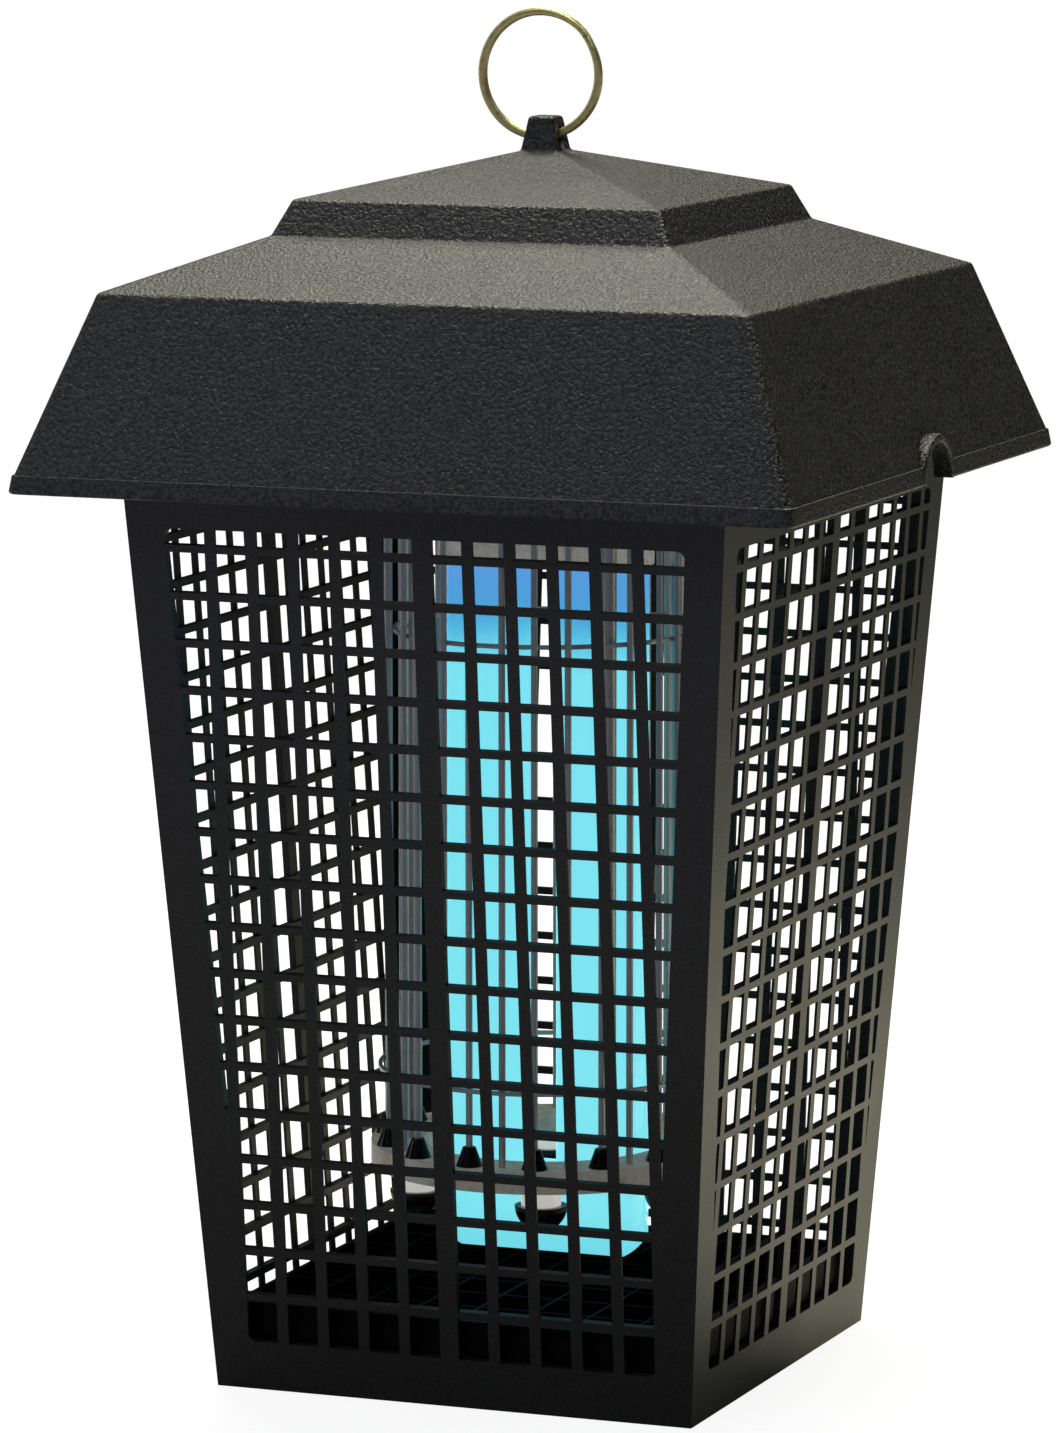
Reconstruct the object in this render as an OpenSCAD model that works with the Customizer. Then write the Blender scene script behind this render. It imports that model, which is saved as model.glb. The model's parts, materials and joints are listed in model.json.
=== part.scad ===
// Outdoor electric insect killer: a square pagoda hood over a tapered grille cage, with a
// U-shaped lamp inside a round killing grid of upright rods. It stands on its cage or hangs
// from the ring on top. Millimetres, +Z up, origin at the centre of the base.
// Front is -Y, the power inlet is on the +X side.

/* [Hood] */
// Width of the hood across its rim
hood_w = 330; // [326:1:340]
// Height of the hood's bottom edge above the ground
rim_z = 368; // [366:1:370]
// Wall thickness of the hood moulding
hood_wall = 3; // [2.5:0.1:3.5]
// Radius of the half-round cord notch in the right skirt
notch_r = 16; // [12:1:18]

/* [Cage] */
// Width of the cage across its foot
foot_w = 205; // [200:0.5:207]
// Depth of the cage across its foot
foot_d = 207.6; // [204:0.2:210]
// Width of the cage where the hood's rim surrounds it
throat_w = 254.2; // [250:0.2:258]
// Depth of the cage where the hood's rim surrounds it
throat_d = 271.2; // [266:0.2:274]
// Depth of the cage's frame and of its level bars
frame_t = 4; // [3:0.5:5]
// Height of the bottom rail
sill_h = 20; // [16:1:24]
// Spacing of the level bars
row_pitch = 19.2; // [19:0.1:19.3]
// Spacing of the upright bars
column_pitch = 17.75; // [17:0.05:17.9]

/* [Lamp] */
// Outer diameter of the lamp's glass tube
tube_d = 38; // [34:1:40]
// Distance between the lamp's two legs, centre to centre
leg_gap = 50; // [46:1:52]
// Height of the lamp's lowest point above the ground
lamp_z = 43.5; // [43.5:0.5:48]

/* [Killing grid] */
// Diameter of each upright rod
rod_d = 2.8; // [2.4:0.1:3]
// Radius of the circle of earthed rods
ground_r = 64; // [63.5:0.5:64]
// Radius of the circle of live rods
live_r = 66; // [66:0.5:66.5]
// Rods in each of the two sets
rods = 15; // [12:1:16]

/* [Ring] */
// Outer diameter of the hanging ring
ring_d = 53.5; // [50:0.5:56]
// Wire diameter of the hanging ring
wire_d = 3.4; // [2.5:0.1:4]

/* [Hidden] */
$fn = 64;
over = 1; // extra length of a cut, so that it passes its face

// Hood outline, from the rim up: half-widths and heights
hood_half = hood_w / 2;
rim_h = 7.5;
rim_half = hood_half - 1.2;
skirt_half = rim_half - 0.7;
eave_half = hood_half - 27.2;
eave_z = rim_z + 78.2;
roof_half = hood_half - 79.8;
roof_z = rim_z + 98.9;
cap_half = hood_half - 86.5;
cap_z = rim_z + 113;
lug_foot_half = 8;
lug_foot_z = rim_z + 130;
lug_top_half = 5.4;
lug_top_z = rim_z + 144;
hole_z = rim_z + 135.8;
hole_r = 3.8;
notch_lip = 3.5;
inset_x = 0.73 * hood_wall; // how far the hollow stays inside the outline, level and upright
inset_z = 0.83 * hood_wall;

// Mounting plate that closes the hood from below
plate_z = rim_z + 22;
plate_t = 2;
plate_top = plate_z + plate_t;
plate_half = hood_half - 11;
boss_at = 100;
boss_r = 5;
pilot_r = 1.65;
joint_gap = 0.3;

// Cage planes: the walls lean outwards from the foot, front and rear more than the sides
side_run = (throat_w - foot_w) / 2 / rim_z;
front_run = (throat_d - foot_d) / 2 / rim_z;
cage_top = plate_z - joint_gap;
head_z = rim_z - 14.3;
bars = 17;
first_bar_z = 38.5;
bar_h = 3;
upright_w = 4.8;
upright_t = 1.1;
spine_w = 8;
spine_t = 3;
spine_step = 1.6;
window_foot = 88;
front_window_head = 110;
side_window_head = 118.5;
front_columns = 5;
side_columns = 6;
corner_r = 3.5;
flange_t = 4;
flange_w = 17.5;
cage_screw_at = 117;

// Floor guard: a deep egg crate that insects drop through
guard_w = 196.8;
guard_d = 199.4;
guard_z = 3;
guard_top = 34.5;
guard_cells = 8;
guard_rib = 1.6;
guard_rim = 2.4;

// Grid plates
grid_floor_z = 81.4;
grid_floor_t = 9.3;
grid_head_z = 348;
grid_head_t = 6;
grid_in_r = 50;
grid_out_r = 72;
rod_step = 360 / rods;
rod_turn = -0.6;
rod_bottom = grid_floor_z + grid_floor_t;
hoop_t = 1.6;
hoop_h = 1.8;
ground_hoop_z = 302;
live_hoop_z = 121;
boot_r = 5.5;
boot_h = 8;
post_r = 3;
post_at = 54;
cup_count = 6;
cup_turn = -10.4;
cup_at = 60;
cup_r = 10.8;
cup_h = 10.5;
bead_r = 8.2;
bead_h = 6.5;
bead_seat = 3;

// Lamp
tube_r = tube_d / 2;
glass_t = 1;
leg_at = leg_gap / 2;
bend_z = lamp_z + tube_r;
cap_bottom = 330.5;
cap_h = 26.5;
cap_top_z = cap_bottom + cap_h;
seat_h = 10;
pin_r = 1.5;
pin_h = 7;
pin_at = [20, 30];
socket_gap = 0.4;
bend_reach = 21.5; // how far the bends' corners reach from the centre of the bend

// Power inlet, with its blades pointing down beside the cage
inlet_x = 140;
inlet_y = 13;
blade_h = 18;

// Screws
head_r = 3.8;
head_h = 2.4;
shank_r = 1.6;

// Ballast, transformer and terminal block on the mounting plate
ballast_y = -62;
transformer_y = 52;
core_size = [84, 34, 46];
slot_size = [20, 30];
limb_w = 16;
core_small = [66, 30, 44];
slot_small = [15, 28];
limb_small = 14;
foot_length = 12;
coil_overhang = 10;
terminal_x = 88;
terminal_y = 13;
terminal_w = 18;
ways = 4;
way_pitch = 11;
lead_r = 1.3;

// Ring
ring_lean = 5;

// ---------- shared shapes ----------

// A square tower from a list of [half-width, height] steps, made by crossing two prisms
module tower(steps) {
    last = len(steps) - 1;
    right = [for (s = steps) [s[0], s[1]]];
    left = [for (i = [last:-1:0]) [-steps[i][0], steps[i][1]]];
    reach = 2 * steps[0][0] + 4;
    intersection() {
        rotate([90, 0, 0]) linear_extrude(reach, center = true) polygon(concat(right, left));
        rotate([90, 0, 90]) linear_extrude(reach, center = true) polygon(concat(right, left));
    }
}

module tube(r_out, r_in, h) {
    difference() {
        cylinder(r = r_out, h = h);
        translate([0, 0, -over]) cylinder(r = r_in, h = h + 2 * over);
    }
}

module box_at(size, at) {
    translate([at[0] - size[0] / 2, at[1] - size[1] / 2, at[2]]) cube(size);
}

// Four places on a square, one in each quarter
module at_corners(d) {
    for (sx = [-1, 1], sy = [-1, 1]) translate([sx * d, sy * d, 0]) children();
}

// Four places on a circle, each midway between two insulators
module at_posts() {
    for (a = [-30, 30, 150, 210]) rotate([0, 0, cup_turn + a]) translate([post_at, 0, 0]) children();
}

// ---------- cage ----------

// Points of an arc, for a polygon with round corners
function arc(c, r, from, to) = [
    for (i = [0:5]) let(a = from + (to - from) * i / 5) c + r * [cos(a), sin(a)]
];

// A trapezoid window with round corners, in the plane of a wall
module window(lean, head_half, grow) {
    low = sill_h / cos(lean) - grow;
    high = head_z / cos(lean) + grow;
    r = corner_r;
    foot = window_foot + grow - r;
    head = head_half + grow - r;
    polygon(concat(
        arc([foot, low + r], r, -90, 0),
        arc([head, high - r], r, 0, 90),
        arc([-head, high - r], r, 90, 180),
        arc([-foot, low + r], r, 180, 270)
    ));
}

module uprights(columns) {
    for (i = [1:columns], side = [-1, 1])
        translate([side * (spine_step + i * column_pitch) - upright_w / 2, 0]) square([upright_w, rim_z]);
}

module level_bars(lean) {
    for (i = [0:bars - 1])
        translate([-hood_half, (first_bar_z + i * row_pitch) / cos(lean) - bar_h / 2])
            square([hood_w, bar_h]);
}

// Thickens a flat shape inwards from the wall's outer face
module inward(t) {
    translate([0, 0, -t]) linear_extrude(t) children();
}

// Everything on a wall's side of the plane in which it meets its right-hand neighbour
module mitre(away, run, half, spread) {
    reach = 2 * hood_w;
    tilt = atan((spread - run) / sqrt(2));
    translate([half, -away, 0]) rotate([0, tilt, 45])
        translate([-reach, -reach, -rim_z]) cube([reach, 2 * reach, 3 * rim_z]);
}

// A wall whose outer face stands away from the axis at the foot and leans out by run.
// It is half long to each side at the foot, and spread is the lean of its neighbours.
module wall(away, run, half, spread, head_half, columns) {
    lean = atan(run);
    intersection() {
        translate([0, -away, 0]) rotate([90 + lean, 0, 0]) union() {
            inward(frame_t) difference() {
                translate([-hood_half, -over]) square([hood_w, cage_top + 10]);
                window(lean, head_half, 0);
            }
            inward(upright_t) intersection() {
                uprights(columns);
                window(lean, head_half, over);
            }
            inward(frame_t) intersection() {
                level_bars(lean);
                window(lean, head_half, over);
            }
            inward(spine_t) intersection() {
                translate([-spine_w / 2, 0]) square([spine_w, rim_z]);
                window(lean, head_half, over);
            }
        }
        mitre(away, run, half, spread);
        mirror([1, 0, 0]) mitre(away, run, half, spread);
        translate([-hood_half, -hood_half, 0]) cube([hood_w, hood_w, cage_top]);
    }
}

module front_wall() wall(foot_d / 2, front_run, foot_w / 2, side_run, front_window_head, front_columns);

module side_wall() wall(foot_w / 2, side_run, foot_d / 2, front_run, side_window_head, side_columns);

module front_grille() color([0.13, 0.13, 0.12]) front_wall();

module right_grille() color([0.2, 0.2, 0.17]) rotate([0, 0, 90]) side_wall();

module rear_grille() color([0.13, 0.13, 0.12]) rotate([0, 0, 180]) front_wall();

module left_grille() color([0.13, 0.13, 0.12]) rotate([0, 0, 270]) side_wall();

// Inward flange at the head of the cage, which the mounting plate rests on
module cage_flange() {
    low = cage_top - flange_t;
    w = foot_w + 2 * (side_run * low - frame_t - joint_gap);
    d = foot_d + 2 * (front_run * low - frame_t - joint_gap);
    color([0.12, 0.12, 0.12]) translate([0, 0, low]) difference() {
        linear_extrude(flange_t) difference() {
            square([w, d], center = true);
            square([w - 2 * flange_w, d - 2 * flange_w], center = true);
        }
        translate([0, 0, -over]) at_corners(cage_screw_at) cylinder(r = 1.85, h = flange_t + 2 * over);
    }
}

module floor_guard() {
    cell_w = (guard_w - 2 * guard_rim) / guard_cells;
    cell_d = (guard_d - 2 * guard_rim) / guard_cells;
    middle = (guard_cells - 1) / 2;
    color([0.08, 0.08, 0.08]) translate([0, 0, guard_z]) linear_extrude(guard_top - guard_z) difference() {
        square([guard_w, guard_d], center = true);
        for (i = [0:guard_cells - 1], j = [0:guard_cells - 1])
            translate([(i - middle) * cell_w, (j - middle) * cell_d])
                square([cell_w - guard_rib, cell_d - guard_rib], center = true);
    }
}

// Pan-head screw, its head hanging below the seat and its shank going up
module screw_up(r, length) {
    translate([0, 0, -head_h]) difference() {
        cylinder(r = head_r, h = head_h);
        translate([0, 0, -over]) cylinder(r = 1.7, h = over + 1.2, $fn = 6);
    }
    cylinder(r = r, h = length);
}

module cage_screws() {
    color([0.6, 0.6, 0.6]) translate([0, 0, cage_top - flange_t]) at_corners(cage_screw_at) screw_up(1.8, 12);
}

// ---------- hood ----------

module hood_outer() {
    tower([
        [hood_half, rim_z],
        [rim_half, rim_z + rim_h],
        [skirt_half, rim_z + rim_h],
        [eave_half, eave_z],
        [roof_half, roof_z],
        [cap_half, cap_z],
        [lug_foot_half, lug_foot_z],
        [lug_top_half, lug_top_z]
    ]);
}

// The hollow follows the outside, one wall thickness in
module hood_inner() {
    tower([
        [skirt_half - inset_x, rim_z - over],
        [skirt_half - inset_x, rim_z + rim_h - inset_z],
        [eave_half - inset_x, eave_z - inset_z],
        [roof_half - inset_x, roof_z - inset_z],
        [cap_half - inset_x, cap_z - inset_z],
        [lug_foot_half, lug_foot_z - hood_wall]
    ]);
}

module notch_arch(r, from_x, to_x) {
    translate([from_x, inlet_y + 1, rim_z]) rotate([0, 90, 0]) cylinder(r = r, h = to_x - from_x);
}

module hood_shell() {
    color([0.16, 0.16, 0.15]) difference() {
        union() {
            difference() {
                hood_outer();
                hood_inner();
            }
            intersection() {
                hood_outer();
                at_corners(boss_at) translate([0, 0, plate_top]) cylinder(r = boss_r, h = roof_z - plate_top);
            }
            intersection() {
                notch_arch(notch_r + notch_lip, hood_half - 8, hood_half - 0.1);
                translate([hood_half - 20, -hood_half, rim_z]) cube([40, hood_w, 60]);
            }
        }
        notch_arch(notch_r, hood_half - 20, hood_half + 20);
        at_corners(boss_at) translate([0, 0, plate_top - over]) cylinder(r = pilot_r, h = 16);
        translate([-20, 0, hole_z]) rotate([0, 90, 0]) cylinder(r = hole_r, h = 40);
    }
}

// Inlet outline with round ends, seen from above
module inlet_outline(grow) {
    half = 9 + grow;
    translate([inlet_x, inlet_y - 4]) circle(r = half);
    translate([inlet_x, inlet_y + 4]) circle(r = half);
    translate([inlet_x - half, inlet_y - 4]) square([2 * half, 8]);
}

module mounting_plate() {
    color([0.62, 0.63, 0.64]) translate([0, 0, plate_z]) difference() {
        linear_extrude(plate_t) difference() {
            square(2 * plate_half, center = true);
            inlet_outline(0.1);
        }
        translate([0, 0, -over]) {
            at_corners(boss_at) cylinder(r = 2, h = plate_t + 2 * over);
            at_corners(cage_screw_at) cylinder(r = 2.3, h = plate_t + 2 * over);
            at_posts() cylinder(r = 1.7, h = plate_t + 2 * over);
        }
    }
}

module plate_screws() {
    color([0.6, 0.6, 0.6]) translate([0, 0, plate_z]) at_corners(boss_at) screw_up(shank_r, 14);
}

// ---------- lamp socket and killing grid ----------

module lamp_socket() {
    bottom = cap_top_z + socket_gap;
    color([0.1, 0.1, 0.1]) difference() {
        union() {
            box_at([78, 30, plate_z - bottom - 6], [0, 0, bottom]);
            box_at([88, 38, 6], [0, 0, plate_z - 6]);
        }
        for (x = pin_at, side = [-1, 1])
            translate([side * x, 0, bottom - over]) cylinder(r = pin_r + 0.4, h = pin_h + over + 2);
    }
}

module grid_plate(z, t) {
    translate([0, 0, z]) difference() {
        tube(grid_out_r, grid_in_r, t);
        at_posts() translate([0, 0, -over]) cylinder(r = 1.7, h = t + 2 * over);
    }
}

module upper_grid_plate() color([0.72, 0.7, 0.62]) grid_plate(grid_head_z, grid_head_t);

module lower_grid_ring() color([0.72, 0.7, 0.62]) grid_plate(grid_floor_z, grid_floor_t);

// A round post with a screw bore in each end
module post(from, to) {
    translate([0, 0, from]) difference() {
        cylinder(r = post_r, h = to - from);
        translate([0, 0, -over]) cylinder(r = shank_r + 0.05, h = 12 + over);
        translate([0, 0, to - from - 12]) cylinder(r = shank_r + 0.05, h = 12 + over);
    }
}

// Posts hold the lower ring below the upper plate
module grid_posts() color([0.55, 0.56, 0.57]) at_posts() post(rod_bottom, grid_head_z);

// Spacers hang the upper plate below the mounting plate
module plate_spacers() color([0.55, 0.56, 0.57]) at_posts() post(grid_head_z + grid_head_t, plate_z);

// Screws into the posts' lower ends, and from the plate into the spacers
module post_screws() {
    color([0.6, 0.6, 0.6]) at_posts() {
        translate([0, 0, grid_floor_z]) screw_up(shank_r, grid_floor_t + 9);
        translate([0, 0, plate_top]) mirror([0, 0, 1]) screw_up(shank_r, plate_t + 9);
    }
}

// One set of upright rods, evenly round a circle
module rod_set(r, turn) {
    for (i = [0:rods - 1])
        rotate([0, 0, turn + i * rod_step]) translate([r, 0, rod_bottom])
            cylinder(r = rod_d / 2, h = grid_head_z - rod_bottom, $fn = 24);
}

module ground_rods() color([0.75, 0.76, 0.75]) rod_set(ground_r, rod_turn + rod_step / 2);

module live_rods() color([0.75, 0.76, 0.75]) rod_set(live_r, rod_turn);

// Each hoop touches one set of rods only, so the two sets stay apart
module ground_hoop() {
    inside = ground_r - rod_d / 2;
    color([0.75, 0.76, 0.75]) translate([0, 0, ground_hoop_z])
        tube(inside, inside - hoop_t, hoop_h, $fn = 96);
}

module live_hoop() {
    outside = live_r + rod_d / 2;
    color([0.75, 0.76, 0.75]) translate([0, 0, live_hoop_z])
        tube(outside + hoop_t, outside, hoop_h, $fn = 96);
}

// Cone of black insulation round the foot of each live rod
module rod_boots() {
    color([0.07, 0.07, 0.07]) for (i = [0:rods - 1])
        rotate([0, 0, rod_turn + i * rod_step]) translate([live_r, 0, rod_bottom]) difference() {
            cylinder(r1 = boot_r, r2 = 2.6, h = boot_h, $fn = 24);
            translate([0, 0, -over]) cylinder(r = rod_d / 2 + 0.05, h = boot_h + 2 * over, $fn = 24);
        }
}

module at_cups() {
    for (i = [0:cup_count - 1])
        rotate([0, 0, cup_turn + i * 360 / cup_count]) translate([cup_at, 0, grid_floor_z - bead_h])
            children();
}

module insulator_cups() {
    color([0.07, 0.07, 0.07]) at_cups() rotate_extrude() difference() {
        intersection() {
            circle(r = cup_r);
            translate([0, -cup_h]) square([cup_r, cup_h]);
        }
        translate([-over, -bead_seat]) square([bead_r - 1 + over, bead_seat + over]);
    }
}

module ceramic_beads() {
    color([0.93, 0.92, 0.88]) at_cups() {
        cylinder(r = bead_r, h = bead_h);
        translate([0, 0, -bead_seat]) cylinder(r = bead_r - 1.1, h = bead_seat);
    }
}

// ---------- parts inside the hood ----------

// A laminated core with a window on each side of its middle limb, on a base strip
module core(size, slot, limb) {
    difference() {
        union() {
            box_at(size, [0, 0, 0]);
            box_at([size[0] + 2 * foot_length, size[1] * 0.7, 2], [0, 0, 0]);
        }
        for (side = [-1, 1]) {
            box_at([slot[0], size[1] + 2 * over, slot[1]],
                [side * (slot[0] + limb) / 2, 0, (size[2] - slot[1]) / 2]);
            translate([side * (size[0] + foot_length + 2) / 2, 0, -over]) cylinder(r = 2.1, h = 4);
        }
    }
}

// A coil wound round the core's middle limb
module winding(size, limb, depth) {
    difference() {
        box_at(size, [0, 0, 0]);
        box_at([limb + 0.2, depth + 0.2, size[2] + 2 * over], [0, 0, -over]);
    }
}

module ballast_core() {
    color([0.4, 0.4, 0.42]) translate([0, ballast_y, plate_top]) core(core_size, slot_size, limb_w);
}

module ballast_winding() {
    low = plate_top + (core_size[2] - slot_size[1]) / 2 + 0.5;
    color([0.75, 0.45, 0.2]) translate([0, ballast_y, low])
        winding([limb_w + 2 * slot_size[0] - 1, core_size[1] + 2 * coil_overhang, slot_size[1] - 1],
            limb_w, core_size[1]);
}

module transformer_core() {
    color([0.4, 0.4, 0.42]) translate([0, transformer_y, plate_top]) core(core_small, slot_small, limb_small);
}

module transformer_winding() {
    low = plate_top + (core_small[2] - slot_small[1]) / 2 + 0.5;
    color([0.8, 0.75, 0.5]) translate([0, transformer_y, low])
        winding([limb_small + 2 * slot_small[0] - 1, core_small[1] + 2 * coil_overhang, slot_small[1] - 1],
            limb_small, core_small[1]);
}

module terminal_block() {
    color([0.85, 0.83, 0.75]) translate([terminal_x, terminal_y, plate_top]) difference() {
        union() {
            box_at([terminal_w, ways * way_pitch, 8], [0, 0, 0]);
            for (i = [0:ways - 1]) box_at([10, 8, 14], [0, (i - (ways - 1) / 2) * way_pitch, 0]);
        }
        for (i = [0:ways - 1])
            translate([0, (i - (ways - 1) / 2) * way_pitch, 8]) cylinder(r = 2, h = 8, $fn = 24);
    }
}

module component_screws() {
    color([0.6, 0.6, 0.6]) for (side = [-1, 1]) {
        translate([side * (core_size[0] + foot_length + 2) / 2, ballast_y, plate_top + 2])
            cylinder(r = head_r, h = head_h);
        translate([side * (core_small[0] + foot_length + 2) / 2, transformer_y, plate_top + 2])
            cylinder(r = head_r, h = head_h);
    }
}

// An insulated lead through a list of points
module lead(points) {
    for (i = [0:len(points) - 2]) hull() {
        translate(points[i]) sphere(r = lead_r, $fn = 10);
        translate(points[i + 1]) sphere(r = lead_r, $fn = 10);
    }
}

// Two leads come from the inlet to the block, and three go on to the ballast, transformer and lamp
module lead_wires() {
    low = plate_top + 3;
    high = plate_top + 20;
    block_end = terminal_x - terminal_w / 2 - lead_r;
    block_top = terminal_x + terminal_w / 2 + lead_r;
    ballast_end = ballast_y + core_size[1] / 2 + coil_overhang + lead_r;
    transformer_end = transformer_y - core_small[1] / 2 - coil_overhang - lead_r;
    color([0.8, 0.8, 0.78]) {
        for (side = [-1, 1]) lead([
            [inlet_x - 4, inlet_y + side * 5, high - 4],
            [inlet_x - 20, inlet_y + side * 5, high],
            [block_top, terminal_y + side * 5, low + 4]
        ]);
        lead([
            [block_end, terminal_y - 16, low],
            [terminal_x - 28, terminal_y - 24, low],
            [20, ballast_end, low + 4],
            [20, ballast_end, low + 18]
        ]);
        lead([
            [block_end, terminal_y + 16, low],
            [terminal_x - 26, terminal_y + 16, low],
            [18, transformer_end, low + 3],
            [18, transformer_end, low + 16]
        ]);
        lead([
            [block_end, terminal_y, low],
            [terminal_x - 38, 5, low],
            [22, 2, low - 1]
        ]);
    }
}

module inlet_body() {
    color([0.08, 0.08, 0.08]) translate([0, 0, plate_z]) linear_extrude(12) inlet_outline(0);
    color([0.08, 0.08, 0.08]) translate([0, 0, plate_top]) linear_extrude(2) inlet_outline(2);
}

// Two flat blades and a round earth pin
module inlet_blades() {
    blade_y = inlet_y - 6;
    color([0.85, 0.8, 0.6]) {
        for (side = [-1, 1])
            box_at([1.5, 6.35, blade_h], [inlet_x + side * 6.35, blade_y, plate_z - blade_h]);
        translate([inlet_x, blade_y + 11.9, plate_z - blade_h - 1]) cylinder(r = 2.4, h = blade_h + 1);
    }
}

// ---------- lamp ----------

// The bent tube: two legs, joined by a level length with tight round corners
module bent_tube(r, reach, top) {
    for (side = [-1, 1]) translate([side * leg_at, 0, bend_z]) {
        cylinder(r = r, h = top - bend_z);
        intersection() {
            sphere(r = reach);
            translate([0, 0, -r]) cylinder(r = r, h = 2 * r);
            translate([-r, 0, 0]) rotate([0, 90, 0]) cylinder(r = r, h = 2 * r);
        }
    }
    translate([-leg_at, 0, bend_z]) rotate([0, 90, 0]) cylinder(r = r, h = leg_gap);
}

module lamp_glass() {
    top = cap_bottom + seat_h;
    color([0.45, 0.85, 0.95]) difference() {
        bent_tube(tube_r, bend_reach, top);
        bent_tube(tube_r - glass_t, bend_reach - glass_t, top + over);
    }
}

module lamp_cap() {
    d = tube_d + 4;
    color([0.75, 0.74, 0.68]) difference() {
        translate([0, 0, cap_bottom]) linear_extrude(cap_h) {
            square([leg_gap, d], center = true);
            for (side = [-1, 1]) translate([side * leg_at, 0]) circle(r = d / 2);
        }
        for (side = [-1, 1])
            translate([side * leg_at, 0, cap_bottom - over]) cylinder(r = tube_r + 0.05, h = seat_h + over);
    }
}

module lamp_pins() {
    color([0.85, 0.82, 0.7]) for (x = pin_at, side = [-1, 1])
        translate([side * x, 0, cap_top_z]) cylinder(r = pin_r, h = pin_h, $fn = 24);
}

// ---------- ring ----------

module hanging_ring() {
    ring_r = (ring_d - wire_d) / 2;
    color([0.8, 0.65, 0.3]) translate([0, 0, hole_z]) rotate([0, -ring_lean, 0]) translate([0, 0, ring_r])
        rotate([90, 0, 0]) rotate_extrude($fn = 96) translate([ring_r, 0]) circle(r = wire_d / 2, $fn = 32);
}

// ---------- assembly ----------

front_grille();
right_grille();
rear_grille();
left_grille();
cage_flange();
floor_guard();
cage_screws();
hood_shell();
mounting_plate();
plate_screws();
lamp_socket();
upper_grid_plate();
lower_grid_ring();
grid_posts();
plate_spacers();
post_screws();
ground_rods();
ground_hoop();
live_rods();
live_hoop();
rod_boots();
insulator_cups();
ceramic_beads();
ballast_core();
ballast_winding();
transformer_core();
transformer_winding();
terminal_block();
component_screws();
lead_wires();
inlet_body();
inlet_blades();
lamp_glass();
lamp_cap();
lamp_pins();
hanging_ring();
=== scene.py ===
"""Looks of an outdoor electric insect killer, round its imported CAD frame. Metres, +Z up, front -Y."""

import json
import math

import bmesh
import bpy
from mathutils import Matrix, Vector


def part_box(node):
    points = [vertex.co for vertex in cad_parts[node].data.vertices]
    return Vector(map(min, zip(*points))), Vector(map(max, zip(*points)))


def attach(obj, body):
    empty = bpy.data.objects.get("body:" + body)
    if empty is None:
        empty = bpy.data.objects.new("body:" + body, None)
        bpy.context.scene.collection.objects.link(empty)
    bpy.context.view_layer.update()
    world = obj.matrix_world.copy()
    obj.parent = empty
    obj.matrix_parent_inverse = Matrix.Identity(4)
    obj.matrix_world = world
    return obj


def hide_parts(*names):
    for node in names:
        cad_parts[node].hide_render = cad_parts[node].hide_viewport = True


MM = 0.001
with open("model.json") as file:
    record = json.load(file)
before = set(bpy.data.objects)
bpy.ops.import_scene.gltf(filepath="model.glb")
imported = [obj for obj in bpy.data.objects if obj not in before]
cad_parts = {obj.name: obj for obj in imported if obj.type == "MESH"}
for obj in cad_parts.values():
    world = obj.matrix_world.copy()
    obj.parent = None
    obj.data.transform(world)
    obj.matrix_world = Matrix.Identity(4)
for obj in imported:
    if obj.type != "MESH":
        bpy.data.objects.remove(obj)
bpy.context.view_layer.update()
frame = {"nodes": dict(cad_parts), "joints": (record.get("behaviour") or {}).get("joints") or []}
nodes = frame["nodes"]


# ---------- camera ----------

VIEW_AZIMUTH = math.radians(21.36)
VIEW_ELEVATION = math.radians(8.10)
VIEW_DISTANCE = 2.99
VIEW_LENS = 183.4
VIEW_SHIFT = -0.0113
AIM_HEIGHT = 0.2662


def towards(azimuth, elevation):
    """Unit vector from the object to a place at that azimuth and elevation. Azimuth 0 is in front."""
    level = math.cos(elevation)
    return Vector((math.sin(azimuth) * level, -math.cos(azimuth) * level, math.sin(elevation)))


def look_at(obj, place, target):
    obj.location = place
    obj.rotation_euler = (target - place).to_track_quat("-Z", "Y").to_euler()


def link(obj):
    bpy.context.scene.collection.objects.link(obj)
    return obj


def make_camera():
    data = bpy.data.cameras.new("camera")
    data.lens = VIEW_LENS
    data.shift_x = VIEW_SHIFT
    data.clip_end = 50
    camera = link(bpy.data.objects.new("camera", data))
    aim = Vector((0, 0, AIM_HEIGHT))
    look_at(camera, aim + VIEW_DISTANCE * towards(VIEW_AZIMUTH, VIEW_ELEVATION), aim)
    bpy.context.scene.camera = camera


# ---------- light and stage ----------

ROOM = (0.022, 0.022, 0.026)
FLOOR_REACH = 12
FLOOR_PAINT = (0.20, 0.20, 0.20)
# What the floor's bounce looks like in front of the object, close to it and behind it
FLOOR_FRONT = (0.20, 0.205, 0.27)
FLOOR_NEAR = (0.06, 0.06, 0.054)
FLOOR_BEHIND = (1.0, 0.97, 0.70)
# From where to where in Y the bounce goes through its stops
BOUNCE_FROM, BOUNCE_TO = -0.9, 2.1
# How far from the centre the contact shadow starts to fade, and where it is gone
SHADOW_FROM, SHADOW_TO = 0.1, 0.45
SHADOW = (0.9, 0.9, 0.9)
WHITE = (1, 1, 1)


def area_light(name, azimuth, elevation, distance, size, power, colour=(1, 1, 1), aim_z=0.4):
    data = bpy.data.lights.new(name, "AREA")
    data.shape = "RECTANGLE"
    data.size, data.size_y = size
    data.energy = power
    data.color = colour
    light = link(bpy.data.objects.new(name, data))
    aim = Vector((0, 0, aim_z))
    look_at(light, aim + distance * towards(math.radians(azimuth), math.radians(elevation)), aim)
    light.visible_camera = False


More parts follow.
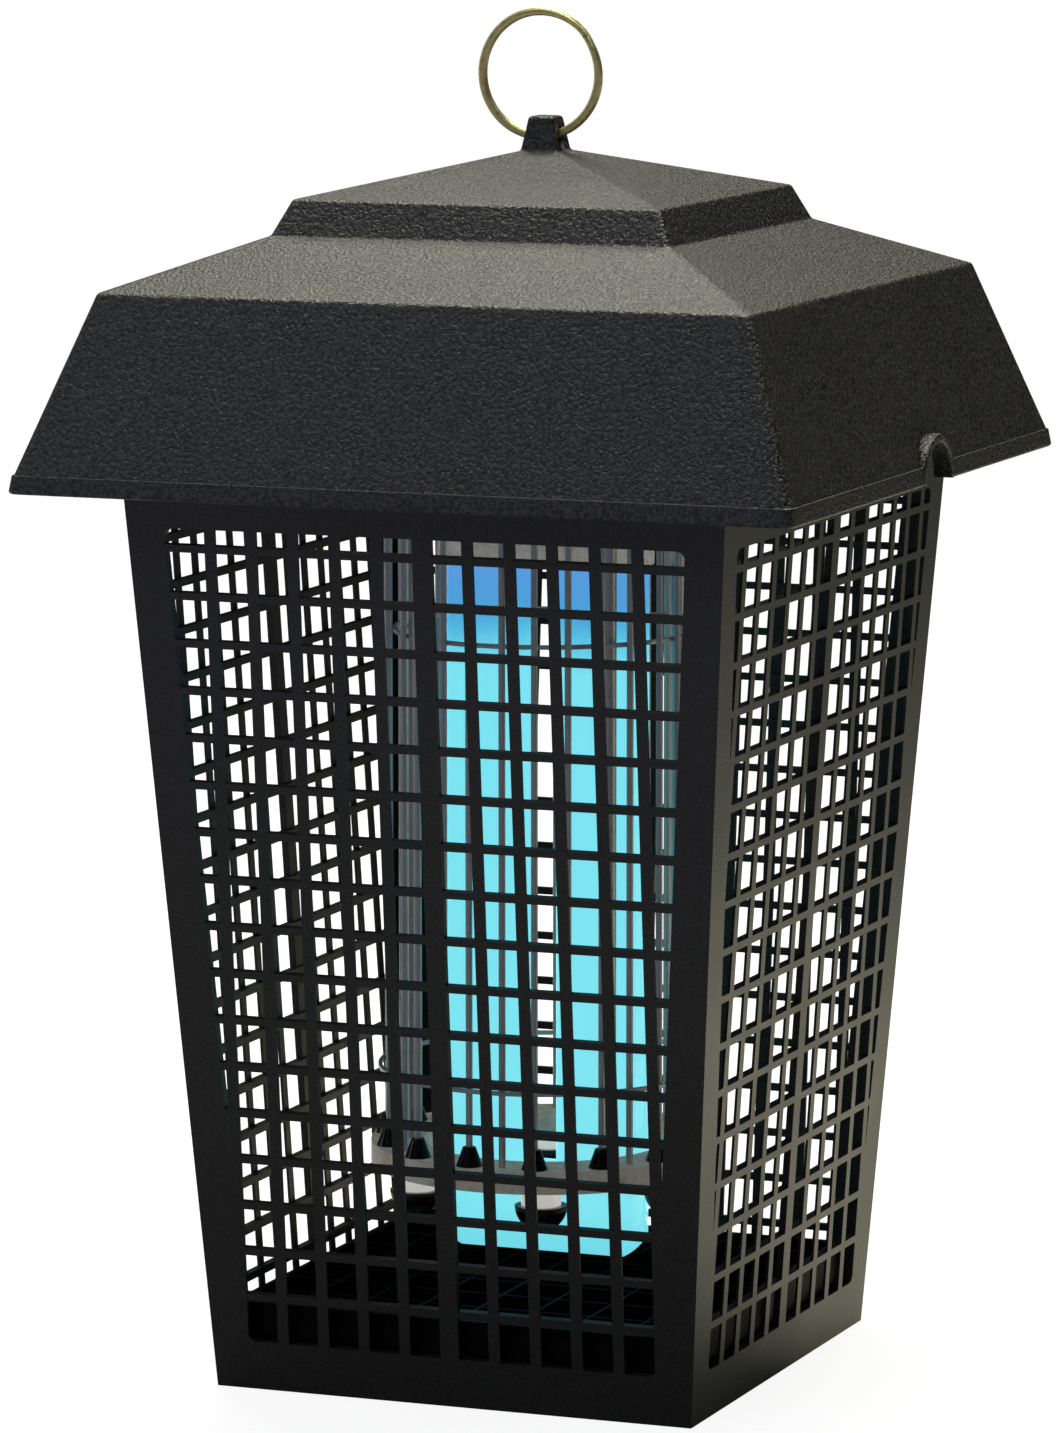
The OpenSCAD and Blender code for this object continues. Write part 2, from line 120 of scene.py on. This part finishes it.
def make_lights():
    area_light("softbox_behind", 196, 66, 2.2, (1.7, 1.1), 72, (1.0, 0.985, 0.84))
    area_light("softbox_above", 190, 86, 2.0, (1.0, 0.5), 8, (1.0, 0.99, 0.86))
    area_light("softbox_front", -20, 40, 2.4, (1.2, 1.2), 9, (0.80, 0.85, 1.0))
    area_light("strip_left", -70, 20, 2.2, (0.5, 1.6), 4, (0.9, 0.94, 1.0), 0.25)


def glow_by_ray(tree, shown, lit):
    """One emission for the camera and another that lights and mirrors in the object."""
    path = tree.nodes.new("ShaderNodeLightPath")
    mix = tree.nodes.new("ShaderNodeMixShader")
    tree.links.new(path.outputs["Is Camera Ray"], mix.inputs["Fac"])
    for socket, colour in ((mix.inputs[1], lit), (mix.inputs[2], shown)):
        glow = tree.nodes.new("ShaderNodeEmission")
        if isinstance(colour, tuple):
            glow.inputs["Color"].default_value = (*colour, 1)
        else:
            tree.links.new(colour, glow.inputs["Color"])
        tree.links.new(glow.outputs[0], socket)
    return mix.outputs[0]


def make_world():
    """White to the camera and a dim room for everything else."""
    world = bpy.data.worlds.new("room")
    world.use_nodes = True
    tree = world.node_tree
    tree.nodes.clear()
    out = tree.nodes.new("ShaderNodeOutputWorld")
    tree.links.new(glow_by_ray(tree, WHITE, ROOM), out.inputs[0])
    bpy.context.scene.world = world
    bpy.context.scene.view_settings.view_transform = "Standard"


def make_floor():
    """White to the camera, with a faint contact shadow. Its bounce is cool in front and olive behind."""
    mesh = bpy.data.meshes.new("floor")
    corners = [(x * FLOOR_REACH, y * FLOOR_REACH, 0) for x, y in ((-1, -1), (1, -1), (1, 1), (-1, 1))]
    mesh.from_pydata(corners, [], [(0, 1, 2, 3)])
    floor = link(bpy.data.objects.new("floor", mesh))
    paint = Paint("pale_floor", FLOOR_PAINT, 0.9, specular=0)
    tree = paint.tree
    far = tree.nodes.new("ShaderNodeVectorMath")
    far.operation = "LENGTH"
    tree.links.new(paint.coords, far.inputs[0])
    away = paint.remap(far.outputs["Value"], SHADOW_FROM, SHADOW_TO, 0, 1)
    shown = paint.ramp(away, [(0, SHADOW), (1, WHITE)])
    back = paint.remap(paint.along("Y"), BOUNCE_FROM, BOUNCE_TO, 0, 1)
    bounce = paint.ramp(back, [
        (0.02, FLOOR_FRONT),
        (0.17, FLOOR_NEAR),
        (0.30, FLOOR_NEAR),
        (0.35, FLOOR_BEHIND),
        (0.56, FLOOR_BEHIND),
        (0.68, FLOOR_NEAR),
    ])
    add = tree.nodes.new("ShaderNodeAddShader")
    tree.links.new(glow_by_ray(tree, shown, bounce), add.inputs[0])
    tree.links.new(paint.bsdf.outputs[0], add.inputs[1])
    tree.links.new(add.outputs[0], tree.nodes["Material Output"].inputs["Surface"])
    mesh.materials.append(paint.material)


# ---------- material helpers ----------


class Paint:
    """A material with one Principled shader, and short calls for the nodes that feed it."""

    def __init__(self, name, colour=(0.5, 0.5, 0.5), roughness=0.5, metallic=0.0, specular=0.5):
        self.material = bpy.data.materials.new(name)
        self.material.use_nodes = True
        self.tree = self.material.node_tree
        self.bsdf = self.tree.nodes["Principled BSDF"]
        self.coords = self.tree.nodes.new("ShaderNodeTexCoord").outputs["Object"]
        self.set("Base Color", (*colour, 1))
        self.set("Roughness", roughness)
        self.set("Metallic", metallic)
        self.set("Specular IOR Level", specular)

    def set(self, socket, value):
        self.bsdf.inputs[socket].default_value = value

    def feed(self, socket, output):
        self.tree.links.new(output, self.bsdf.inputs[socket])

    def stretched(self, scale):
        node = self.tree.nodes.new("ShaderNodeMapping")
        node.inputs["Scale"].default_value = scale
        self.tree.links.new(self.coords, node.inputs["Vector"])
        return node.outputs[0]

    def noise(self, scale, detail=2.0, rough=0.5, vector=None):
        node = self.tree.nodes.new("ShaderNodeTexNoise")
        node.inputs["Scale"].default_value = scale
        node.inputs["Detail"].default_value = detail
        node.inputs["Roughness"].default_value = rough
        self.tree.links.new(vector or self.coords, node.inputs["Vector"])
        return node.outputs["Fac"]

    def cells(self, scale):
        node = self.tree.nodes.new("ShaderNodeTexVoronoi")
        node.inputs["Scale"].default_value = scale
        self.tree.links.new(self.coords, node.inputs["Vector"])
        return node.outputs["Distance"]

    def along(self, axis):
        node = self.tree.nodes.new("ShaderNodeSeparateXYZ")
        self.tree.links.new(self.coords, node.inputs[0])
        return node.outputs[axis]

    def ramp(self, value, stops):
        """Colour that follows value through (position, colour) stops."""
        node = self.tree.nodes.new("ShaderNodeValToRGB")
        elements = node.color_ramp.elements
        while len(elements) < len(stops):
            elements.new(0.5)
        for element, (position, colour) in zip(elements, stops):
            element.position = position
            element.color = (*colour, 1)
        self.tree.links.new(value, node.inputs["Fac"])
        return node.outputs["Color"]

    def remap(self, value, from_low, from_high, to_low, to_high):
        node = self.tree.nodes.new("ShaderNodeMapRange")
        node.inputs["From Min"].default_value = from_low
        node.inputs["From Max"].default_value = from_high
        node.inputs["To Min"].default_value = to_low
        node.inputs["To Max"].default_value = to_high
        self.tree.links.new(value, node.inputs["Value"])
        return node.outputs["Result"]

    def bump(self, value, depth, over=None):
        """Bump of that depth in metres. over is another bump's normal, which this one lies on."""
        node = self.tree.nodes.new("ShaderNodeBump")
        node.inputs["Distance"].default_value = depth
        self.tree.links.new(value, node.inputs["Height"])
        if over:
            self.tree.links.new(over, node.inputs["Normal"])
        self.feed("Normal", node.outputs["Normal"])
        return node.outputs["Normal"]


# ---------- materials ----------


def pebbled_plastic(name, dark, light, roughness, grain, depth, specular):
    """Moulded black plastic with a pebble grain, painted highlights on the pebbles and a faint dusty
    unevenness.
    """
    paint = Paint(name, dark, roughness[0], specular=specular)
    pebbles = paint.noise(grain, 2.0, 0.55)
    patches = paint.noise(9, 3.0)
    # The raised pebbles are painted lighter than the hollows between them: painted highlights on the grain.
    paint.feed("Base Color", paint.ramp(pebbles, [(0.38, dark), (0.66, light)]))
    paint.feed("Roughness", paint.remap(patches, 0.3, 0.7, *roughness))
    coarse = paint.bump(pebbles, depth)
    paint.bump(paint.noise(grain * 3.1, 1.0), depth * 0.3, over=coarse)
    return paint.material


def metal(name, colour, roughness, stretch=(1, 1, 1), grain=400, depth=0.00002, tint=0.85, metallic=1.0):
    """Metal with drawn or rolled streaks along the axis that is stretched least. Low metallic is dull."""
    paint = Paint(name, colour, roughness, metallic)
    streaks = paint.noise(grain, 3.0, 0.6, paint.stretched(stretch))
    worn = tuple(tint * c for c in colour)
    paint.feed("Base Color", paint.ramp(streaks, [(0.35, worn), (0.65, colour)]))
    paint.feed("Roughness", paint.remap(streaks, 0.3, 0.7, roughness * 0.8, roughness * 1.3))
    paint.bump(streaks, depth)
    return paint.material


def mottled(name, dark, light, roughness, scale, specular=0.4, glow=0.0):
    """Pressed board, fibre, glaze or stained moulding with soft mottling. glow is painted light, an
    emission on a part that is no lamp.
    """
    paint = Paint(name, light, roughness, specular=specular)
    blots = paint.noise(scale, 5.0, 0.65)
    paint.feed("Base Color", paint.ramp(blots, [(0.36, dark), (0.6, light)]))
    paint.feed("Roughness", paint.remap(blots, 0.3, 0.7, roughness, roughness * 0.75))
    paint.bump(paint.noise(scale * 9, 2.0), 0.00003)
    # Painted light: a glow in the light colour, on parts that give no light.
    paint.set("Emission Color", (*light, 1))
    paint.set("Emission Strength", glow)
    return paint.material


def galvanised(name):
    paint = Paint(name, (0.6, 0.61, 0.62), 0.4, 1.0)
    spangle = paint.cells(130)
    paint.feed("Base Color", paint.ramp(spangle, [(0.1, (0.5, 0.51, 0.53)), (0.8, (0.68, 0.69, 0.69))]))
    paint.feed("Roughness", paint.remap(spangle, 0, 1, 0.32, 0.5))
    paint.bump(paint.noise(700), 0.00002)
    return paint.material


# Metres between the bands of a wave texture at a scale of 1
WAVE_PERIOD = 0.314


def layered(name, dark, light, pitch, axis, metallic, roughness):
    """Stacked sheets or wound wire: bands across one axis, pitch metres apart."""
    paint = Paint(name, light, roughness, metallic)
    wave = paint.tree.nodes.new("ShaderNodeTexWave")
    wave.bands_direction = axis
    wave.inputs["Scale"].default_value = WAVE_PERIOD / pitch
    wave.inputs["Distortion"].default_value = 0.4
    paint.tree.links.new(paint.coords, wave.inputs["Vector"])
    paint.feed("Base Color", paint.ramp(wave.outputs["Fac"], [(0.1, dark), (0.5, light)]))
    paint.feed("Roughness", paint.remap(paint.noise(300), 0.3, 0.7, roughness * 0.8, roughness * 1.2))
    paint.bump(wave.outputs["Fac"], 0.0001)
    return paint.material


# How bright the lamp's glass looks, and how much of that it casts on everything else
LAMP_SHOWN, LAMP_CAST = 0.95, 0.3


def lamp_light():
    """Lit phosphor: pale cyan, going to deep blue in the cooler length under the cap."""
    paint = Paint("lamp_glass", (0.5, 0.75, 0.8), 0.12, specular=0.5)
    low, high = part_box("lamp_glass")
    height = paint.remap(paint.along("Z"), low.z, high.z, 0, 1)
    uneven = paint.tree.nodes.new("ShaderNodeMath")
    uneven.operation = "MULTIPLY_ADD"
    uneven.inputs[1].default_value = 0.06
    paint.tree.links.new(paint.noise(70, 4.0, 0.6), uneven.inputs[0])
    paint.tree.links.new(height, uneven.inputs[2])
    glow = paint.ramp(uneven.outputs[0], [
        (0.02, (0.16, 0.70, 0.82)),
        (0.10, (0.22, 0.82, 0.92)),
        (0.85, (0.20, 0.80, 0.92)),
        (0.905, (0.09, 0.52, 0.78)),
        (0.94, (0.07, 0.36, 0.72)),
        (0.99, (0.10, 0.33, 0.75)),
    ])
    paint.feed("Emission Color", glow)
    path = paint.tree.nodes.new("ShaderNodeLightPath")
    paint.feed("Emission Strength", paint.remap(path.outputs["Is Camera Ray"], 0, 1, LAMP_CAST, LAMP_SHOWN))
    paint.set("Base Color", (0.03, 0.05, 0.06, 1))
    return paint.material


def make_materials():
    return {
        "hood_plastic": pebbled_plastic(
            "hood_plastic", (0.003, 0.003, 0.004), (0.055, 0.054, 0.049), (0.34, 0.42), 640, 0.0010, 0.5),
        "cage_plastic": pebbled_plastic(
            "cage_plastic", (0.010, 0.010, 0.010), (0.024, 0.024, 0.023), (0.38, 0.48), 900, 0.00014, 0.5),
        "guard_plastic": pebbled_plastic(
            "guard_plastic", (0.0015, 0.0015, 0.0015), (0.004, 0.004, 0.004), (0.45, 0.55),
            300, 0.00003, 0.1),
        "insulator_black": mottled(
            "insulator_black", (0.008, 0.008, 0.009), (0.014, 0.014, 0.015), 0.22, 200, 0.5),
        "zinc_screw": metal("zinc_screw", (0.66, 0.66, 0.64), 0.32, (1, 1, 0.2), 900),
        "plate_steel": galvanised("plate_steel"),
        # The grid plate glows with painted light, brightening it where the hood and cage keep the light
        # off.
        "grid_plate": mottled("grid_plate", (0.36, 0.33, 0.26), (0.78, 0.75, 0.66), 0.5, 60, 0.4, 0.10),
        "rod_steel": metal(
            "rod_steel", (0.66, 0.72, 0.75), 0.34, (1, 1, 0.1), 250, 0.000004, 0.92, 0.55),
        # The beads glow with painted light, standing in for the lamp shining through the glaze.
        "ceramic": mottled("ceramic", (0.78, 0.77, 0.73), (0.92, 0.91, 0.88), 0.2, 90, 0.5, 0.45),
        "lamination": layered("lamination", (0.12, 0.12, 0.13), (0.34, 0.34, 0.36), 0.0012, "Y", 0.8, 0.45),
        "copper_winding": layered(
            "copper_winding", (0.28, 0.10, 0.03), (0.78, 0.36, 0.16), 0.0009, "Z", 0.9, 0.3),
        "taped_winding": layered(
            "taped_winding", (0.55, 0.45, 0.20), (0.78, 0.68, 0.36), 0.006, "Z", 0.0, 0.4),
        "terminal": mottled("terminal", (0.70, 0.67, 0.58), (0.82, 0.79, 0.70), 0.35, 120),
        "lead": mottled("lead", (0.66, 0.65, 0.62), (0.78, 0.77, 0.74), 0.4, 150),
        "blade_metal": metal("blade_metal", (0.84, 0.79, 0.62), 0.2, (1, 1, 0.1), 1200),
        "lamp_glass": lamp_light(),
        # The lamp cap glows with painted light, though only the glass is lit.
        "lamp_cap": mottled("lamp_cap", (0.30, 0.30, 0.28), (0.78, 0.77, 0.72), 0.45, 110, 0.4, 0.16),
        "ring_brass": metal(
            "ring_brass", (0.90, 0.76, 0.32), 0.28, (1, 1, 1), 300, 0.000005, 0.8, 0.55),
    }


# ---------- mesh helpers ----------


def fillet(points, radii, steps=4):
    """A 2D path through points, each inner corner rounded to its radius."""
    path = [Vector(points[0])]
    for before, corner, after, radius in zip(points, points[1:], points[2:], radii):
        corner = Vector(corner)
        back = (Vector(before) - corner).normalized()
        ahead = (Vector(after) - corner).normalized()
        half = back.angle(ahead) / 2
        centre = corner + (back + ahead).normalized() * radius / math.sin(half)
        first = corner + back * radius / math.tan(half) - centre
        last = corner + ahead * radius / math.tan(half) - centre
        start = math.atan2(first.y, first.x)
        turn = (math.atan2(last.y, last.x) - start + math.pi) % (2 * math.pi) - math.pi
        for i in range(steps + 1):
            angle = start + turn * i / steps
            path.append(centre + radius * Vector((math.cos(angle), math.sin(angle))))
    path.append(Vector(points[-1]))
    return path


def square_ring(half, z, radius, steps=6):
    """Points round a square with round corners, anticlockwise."""
    points = []
    inner = half - radius
    for quarter, (sx, sy) in enumerate([(1, 1), (-1, 1), (-1, -1), (1, -1)]):
        for i in range(steps + 1):
            angle = math.pi / 2 * (quarter + i / steps)
            points.append((sx * inner + radius * math.cos(angle), sy * inner + radius * math.sin(angle), z))
    return points


def skin(bm, rings, closed=False):
    """Quads between rings of points, with a face on each end, or closed on itself."""
    made = [[bm.verts.new(p) for p in ring] for ring in rings]
    pairs = list(zip(made, made[1:]))
    if closed:
        pairs.append((made[-1], made[0]))
    for low, high in pairs:
        for i in range(len(low)):
            j = (i + 1) % len(low)
            bm.faces.new((low[i], low[j], high[j], high[i]))
    if not closed:
        bm.faces.new(list(reversed(made[0])))
        bm.faces.new(made[-1])


def lathe(bm, profile, centre, axis="Z", steps=48):
    """A closed profile of (radius, along) points turned round an axis through centre."""
    rings = []
    for i in range(steps):
        angle = 2 * math.pi * i / steps
        ring = []
        for radius, along in profile:
            a, b = radius * math.cos(angle), radius * math.sin(angle)
            offset = (a, b, along) if axis == "Z" else (along, a, b)
            ring.append(Vector(centre) + Vector(offset))
        rings.append(ring)
    skin(bm, rings, closed=True)


def tube(bm, inner, outer, low, high, centre, axis="Z", steps=48):
    """A round tube from low to high along an axis through centre."""
    lathe(bm, [(inner, low), (outer, low), (outer, high), (inner, high)], centre, axis, steps)


def piece(name, bm, material):
    """A new smooth-shaded object from bm."""
    bmesh.ops.recalc_face_normals(bm, faces=bm.faces)
    mesh = bpy.data.meshes.new(name)
    bm.to_mesh(mesh)
    bm.free()
    mesh.materials.append(material)
    mesh.shade_smooth()
    return link(bpy.data.objects.new(name, mesh))


def keep_flats(obj):
    """Weights the normals by area, so that large flat faces shade flat up to their rounded edges."""
    normals = obj.modifiers.new("flats", "WEIGHTED_NORMAL")
    normals.weight = 90
    return obj


def combine(obj, other, operation):
    """Adds other to obj or cuts it away, then removes it."""
    step = obj.modifiers.new("combine", "BOOLEAN")
    step.operation = operation
    step.solver = "EXACT"
    step.object = other
    bpy.context.view_layer.update()
    shaped = obj.evaluated_get(bpy.context.evaluated_depsgraph_get())
    mesh = bpy.data.meshes.new_from_object(shaped)
    obj.modifiers.clear()
    obj.data = mesh
    bpy.data.objects.remove(other)


# ---------- hood ----------

HOOD_LOW, HOOD_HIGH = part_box("hood_shell")
HALF = HOOD_HIGH.x
RIM_Z = HOOD_LOW.z
WALL_X = 2.2 * MM
WALL_Z = 2.5 * MM
LUG_FLOOR = 1.3 * WALL_Z
INNER_ROUND = 1 * MM
# Radius that stands for a point on an axis, so that no face is empty
AXIS = 0.01 * MM
TIP_HALF = 0.2 * MM
# Each step of the hood: how far in from the rim, how far up from it, and how round, in mm
HOOD_STEPS = [
    (0, 0, 1.2),
    (1.2, 7.5, 0.35),
    (1.9, 7.5, 0.3),
    (27.2, 78.2, 2.4),
    (79.8, 98.9, 2.0),
    (86.5, 113, 2.0),
    (157, 130, 1.6),
    (159.6, 144, 1.6),
]
# The steps that the skirt and the lug start at. The inside follows those between.
SKIRT_FOOT, LUG_FOOT = 2, 6
NOTCH_RADIUS = 16 * MM
NOTCH_LIP = 3.5 * MM
NOTCH_CUT = 20 * MM
ARCH_DEPTH = 8 * MM
ARCH_INSET = 0.1 * MM
ARCH_STEPS = 40
HOLE_RADIUS = 3.8 * MM
HOLE_FLARE = 2.2 * HOLE_RADIUS
HOLE_STRAIGHT = 5.7 * MM
HOLE_REACH = 12 * MM
BOSS_AT = 100 * MM
BOSS_TOP = RIM_Z + 90.2 * MM
BOSS_RADIUS = 5 * MM
PILOT_RADIUS = 1.65 * MM
RING_PIVOT = Vector(next(j for j in frame["joints"] if j["name"] == "ring_swing")["pos_m"])


def hip_radius(half):
    """The hips are rounder where the hood is wide."""
    return min(0.9 * half, (0.9 + 0.02 * max(0, half / MM - 7)) * MM)


def hood_rings():
    """Rings from the tip of the inside, down to the rim and up the outside to the lug's top."""
    outer = [(HALF - dx * MM, RIM_Z + dz * MM) for dx, dz, _ in HOOD_STEPS]
    inner = [(x - WALL_X, z - WALL_Z) for x, z in outer[SKIRT_FOOT:LUG_FOOT]]
    lug_half, lug_z = outer[LUG_FOOT]
    ceiling = lug_z - LUG_FLOOR
    points = [
        (TIP_HALF, ceiling),
        (lug_half, ceiling),
        *reversed(inner),
        (inner[0][0], RIM_Z),
        *outer,
        (TIP_HALF, outer[-1][1]),
    ]
    radii = [INNER_ROUND] * (len(inner) + 2) + [r * MM for _, _, r in HOOD_STEPS]
    return [square_ring(half, z, hip_radius(half)) for half, z in fillet(points, radii)]


def notch_centre():
    """The notch is in the right skirt, over the power inlet."""
    low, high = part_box("inlet_blades")
    return (0, (low.y + high.y) / 2, RIM_Z)


def notch_cutter(paint):
    bm = bmesh.new()
    opening = NOTCH_RADIUS + NOTCH_LIP / 2
    tube(bm, AXIS, opening, HALF - NOTCH_CUT, HALF + NOTCH_CUT, notch_centre(), "X", 64)
    return piece("cutter", bm, paint)


def notch_arch(paint):
    """The raised lip over the notch."""
    bm = bmesh.new()
    _, y, z = notch_centre()
    back, front = HALF - ARCH_DEPTH, HALF - ARCH_INSET
    inner, outer = NOTCH_RADIUS, NOTCH_RADIUS + NOTCH_LIP
    corners = [(back, inner), (front, inner), (front, outer), (back, outer)]
    edge = fillet(corners, [0.9 * MM, 1.2 * MM])
    rings = []
    for i in range(ARCH_STEPS + 1):
        angle = math.radians(0.5 + 179 * i / ARCH_STEPS)
        rise, across = math.sin(angle), math.cos(angle)
        rings.append([(along, y + radius * across, z + radius * rise) for along, radius in edge])
    skin(bm, rings)
    return piece("arch", bm, paint)


def ring_hole(paint):
    """The bore for the hanging ring, flared at both ends."""
    bm = bmesh.new()
    profile = [
        (AXIS, -HOLE_REACH),
        (HOLE_FLARE, -HOLE_REACH),
        (HOLE_RADIUS, -HOLE_STRAIGHT),
        (HOLE_RADIUS, HOLE_STRAIGHT),
        (HOLE_FLARE, HOLE_REACH),
        (AXIS, HOLE_REACH),
    ]
    lathe(bm, profile, RING_PIVOT, "X", 40)
    return piece("hole", bm, paint)


def screw_bosses(paint):
    """Four bosses that the mounting plate's screws go into."""
    bm = bmesh.new()
    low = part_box("mounting_plate")[1].z
    for x in (-BOSS_AT, BOSS_AT):
        for y in (-BOSS_AT, BOSS_AT):
            tube(bm, PILOT_RADIUS, BOSS_RADIUS, low, BOSS_TOP, (x, y, 0), steps=32)
    return piece("bosses", bm, paint)


def make_hood(paint):
    bm = bmesh.new()
    skin(bm, hood_rings())
    hood = piece("hood_moulding", bm, paint)
    combine(hood, notch_cutter(paint), "DIFFERENCE")
    combine(hood, notch_arch(paint), "UNION")
    combine(hood, ring_hole(paint), "DIFFERENCE")
    combine(hood, screw_bosses(paint), "UNION")
    keep_flats(hood)
    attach(hood, "hood")
    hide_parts("hood_shell")


# ---------- ring ----------

TURNS = 2
TURN_STEPS = 144
WIRE_DEPTH = 1.6 * MM
WIRE_BAND = 3.2 * MM
# Angle at which the wire starts, angle over which it crosses to the other turn, and the ring's lean
WIRE_START = math.radians(38)
CROSSING = math.radians(34)
RING_LEAN = math.radians(-5)
# The turns stand a little more than the wire's depth apart
TURN_GAP = 1.06 * WIRE_DEPTH
# Half the thickness of the CAD ring's wire, whose middle is at the pivot
HANG = 1.7 * MM
# Share of its full width that the wire has at its ends, and the share it gains per share of its length
END_WIDTH, END_GROWTH = 0.55, 6


def make_ring(paint):
    """A split ring: two turns of flattened wire side by side, with one short crossing."""
    low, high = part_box("hanging_ring")
    half = (high.x - low.x) / 2
    radius = half - WIRE_BAND / 2
    hub = RING_PIVOT + Vector((math.sin(RING_LEAN), 0, math.cos(RING_LEAN))) * (half - HANG)
    section = square_ring(half=0.5, z=0, radius=0.42, steps=4)
    steps = TURNS * TURN_STEPS
    rings = []
    for i in range(steps + 1):
        turn = TURNS * 2 * math.pi * i / steps
        crossed = min(1.0, max(0.0, (turn - 2 * math.pi + CROSSING / 2) / CROSSING))
        side = (crossed * crossed * (3 - 2 * crossed) - 0.5) * TURN_GAP
        angle = WIRE_START + turn
        out = Vector((math.cos(angle), 0, math.sin(angle)))
        width = WIRE_BAND * min(1.0, END_WIDTH + END_GROWTH * min(i, steps - i) / steps)
        rings.append([
            hub + out * (radius + u * width) + Vector((0, side + v * WIRE_DEPTH, 0))
            for u, v, _ in section
        ])
    bm = bmesh.new()
    skin(bm, rings)
    ring = keep_flats(piece("split_ring", bm, paint))
    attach(ring, "ring")
    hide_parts("hanging_ring")


# ---------- CAD nodes that stay ----------

# Slot of each CAD node, and the rounding of its edges in mm
FINISH = {
    "front_grille": ("cage_plastic", 0.35),
    "right_grille": ("cage_plastic", 0.35),
    "rear_grille": ("cage_plastic", 0.35),
    "left_grille": ("cage_plastic", 0.35),
    "cage_flange": ("cage_plastic", 0.4),
    "floor_guard": ("guard_plastic", 0.3),
    "cage_screws": ("zinc_screw", 0.3),
    "mounting_plate": ("plate_steel", 0.2),
    "plate_screws": ("zinc_screw", 0.3),
    "lamp_socket": ("insulator_black", 0.8),
    "upper_grid_plate": ("grid_plate", 0.4),
    "lower_grid_ring": ("grid_plate", 0.4),
    "grid_posts": ("zinc_screw", 0.2),
    "plate_spacers": ("zinc_screw", 0.2),
    "post_screws": ("zinc_screw", 0.3),
    "ground_rods": ("rod_steel", 0),
    "ground_hoop": ("rod_steel", 0.2),
    "live_rods": ("rod_steel", 0),
    "live_hoop": ("rod_steel", 0.2),
    "rod_boots": ("insulator_black", 0.3),
    "insulator_cups": ("insulator_black", 0),
    "ceramic_beads": ("ceramic", 0.8),
    "ballast_core": ("lamination", 0.2),
    "ballast_winding": ("copper_winding", 2.0),
    "transformer_core": ("lamination", 0.2),
    "transformer_winding": ("taped_winding", 2.0),
    "terminal_block": ("terminal", 0.4),
    "component_screws": ("zinc_screw", 0.3),
    "lead_wires": ("lead", 0),
    "inlet_body": ("insulator_black", 0.4),
    "inlet_blades": ("blade_metal", 0.3),
    "lamp_glass": ("lamp_glass", 0),
    "lamp_cap": ("lamp_cap", 1.0),
    "lamp_pins": ("blade_metal", 0.3),
}


def finish_node(name, paints):
    slot, edge = FINISH[name]
    obj = nodes[name]
    obj.data.materials.clear()
    obj.data.materials.append(paints[slot])
    weld = obj.modifiers.new("weld", "WELD")
    weld.merge_threshold = 1e-6
    if edge:
        flats = obj.modifiers.new("whole_faces", "DECIMATE")
        flats.decimate_type = "DISSOLVE"
        flats.angle_limit = math.radians(0.5)
        rounding = obj.modifiers.new("round_edges", "BEVEL")
        rounding.width = edge * MM
        rounding.segments = 2
        rounding.limit_method = "ANGLE"
        rounding.angle_limit = math.radians(35)
    keep_flats(obj)


def main():
    make_camera()
    make_lights()
    make_world()
    make_floor()
    paints = make_materials()
    make_hood(paints["hood_plastic"])
    make_ring(paints["ring_brass"])
    for name in FINISH:
        finish_node(name, paints)


main()
